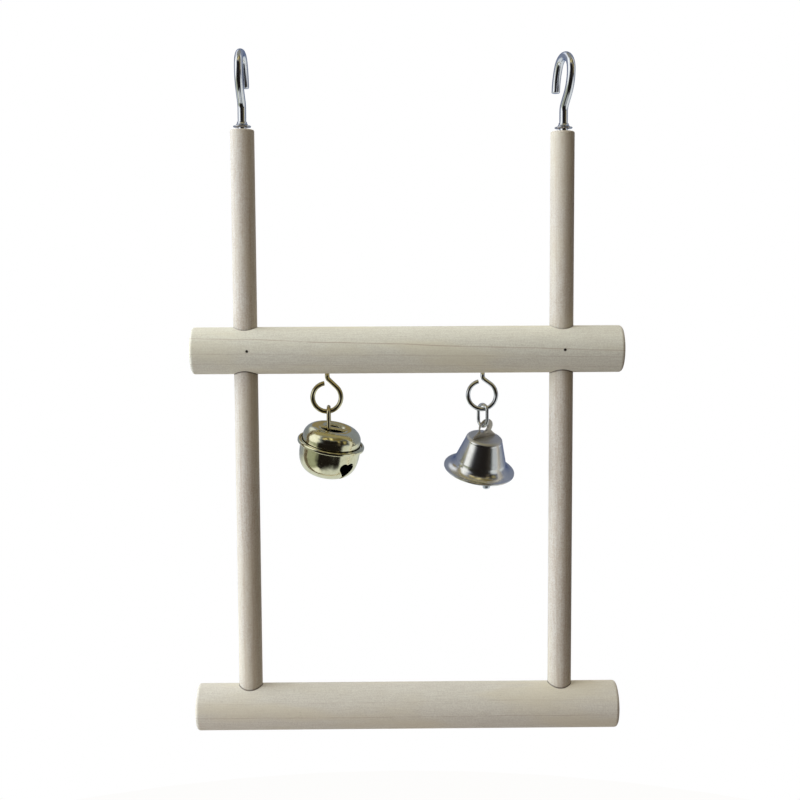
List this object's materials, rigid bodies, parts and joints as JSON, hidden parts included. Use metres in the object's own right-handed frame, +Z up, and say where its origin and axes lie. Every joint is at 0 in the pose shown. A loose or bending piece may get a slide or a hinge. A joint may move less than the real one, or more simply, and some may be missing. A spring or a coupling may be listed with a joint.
{
  "type": "bird swing",
  "caption": "Hanging wooden ladder swing for a small cage bird, with round perches, upright rods, cup hooks to hang it by, and a jingle bell and a hand bell on screw eyes.",
  "frame": {"origin": "midway between the seats of the two cup hooks, on the line that the swing hangs from", "axes": "+X along the perches, to the right as seen from the front; +Y away from the viewer; +Z up along the rods"},
  "size_m": [0.1469, 0.0286, 0.2332],
  "materials": {
    "perch_wood": "bare, sanded",
    "rod_wood": "bare, sanded",
    "brad_steel": "dull",
    "hook_chrome": "bright",
    "eye_brass": "bright plated",
    "eye_nickel": "bright plated",
    "link_metal": "bright plated",
    "jingle_brass": "bright plated",
    "pellet_steel": "dull",
    "bell_nickel": "bright plated",
    "tab_steel": "brushed",
    "clapper_steel": "bright"
  },
  "bodies": {
    "frame": {"left_rod": "rod_wood", "right_rod": "rod_wood", "upper_perch": "perch_wood", "lower_perch": "perch_wood", "left_brad": "brad_steel", "right_brad": "brad_steel", "brass_eye": "eye_brass", "nickel_eye": "eye_nickel"},
    "left_cup_hook": {"left_hook": "hook_chrome", "left_hook_collar": "hook_chrome"},
    "right_cup_hook": {"right_hook": "hook_chrome", "right_hook_collar": "hook_chrome"},
    "jingle_bell_link": {"jingle_link": "eye_brass"},
    "jingle_bell": {"jingle_upper_shell": "jingle_brass", "jingle_lower_shell": "jingle_brass"},
    "pellet": {"jingle_pellet": "pellet_steel"},
    "hand_bell_link": {"bell_link": "link_metal"},
    "hand_bell": {"bell_shell": "bell_nickel", "bell_hanger_tab": "tab_steel"},
    "clapper": {"clapper_wire": "clapper_steel", "clapper_bob": "clapper_steel"}
  },
  "joints": [
    {"name": "left_hook_turn", "type": "hinge", "parent": "frame", "child": "left_cup_hook", "pos_m": [-0.0539, 0, -0.022], "axis": [0, 0, 1], "range_deg": [-90, 90]},
    {"name": "right_hook_turn", "type": "hinge", "parent": "frame", "child": "right_cup_hook", "pos_m": [0.0542, 0, -0.022], "axis": [0, 0, 1], "range_deg": [-90, 90]},
    {"name": "jingle_link_swing", "type": "hinge", "parent": "frame", "child": "jingle_bell_link", "pos_m": [-0.0258, 0, -0.11815], "axis": [0.9923, 0, 0.1237], "range_deg": [-50, 50]},
    {"name": "jingle_bell_swing", "type": "hinge", "parent": "jingle_bell_link", "child": "jingle_bell", "pos_m": [-0.0258, 0, -0.12556], "axis": [0, 1, 0], "range_deg": [-40, 12]},
    {"name": "pellet_roll", "type": "hinge", "parent": "jingle_bell", "child": "pellet", "pos_m": [-0.02579, 0.00189, -0.13241], "axis": [0.9833, 0, -0.1822], "range_deg": [-50, 50]},
    {"name": "hand_bell_link_swing", "type": "hinge", "parent": "frame", "child": "hand_bell_link", "pos_m": [0.02705, 0, -0.1177], "axis": [0.9986, 0, 0.0521], "range_deg": [-35, 50]},
    {"name": "hand_bell_swing", "type": "hinge", "parent": "hand_bell_link", "child": "hand_bell", "pos_m": [0.02705, 0, -0.12361], "axis": [-0.6293, 0.7771, 0], "range_deg": [-50, 50]},
    {"name": "clapper_swing", "type": "hinge", "parent": "hand_bell", "child": "clapper", "pos_m": [0.02768, 0.0032, -0.12947], "axis": [-0.588, 0.7348, 0.3381], "range_deg": [-28, 28]}
  ]
}
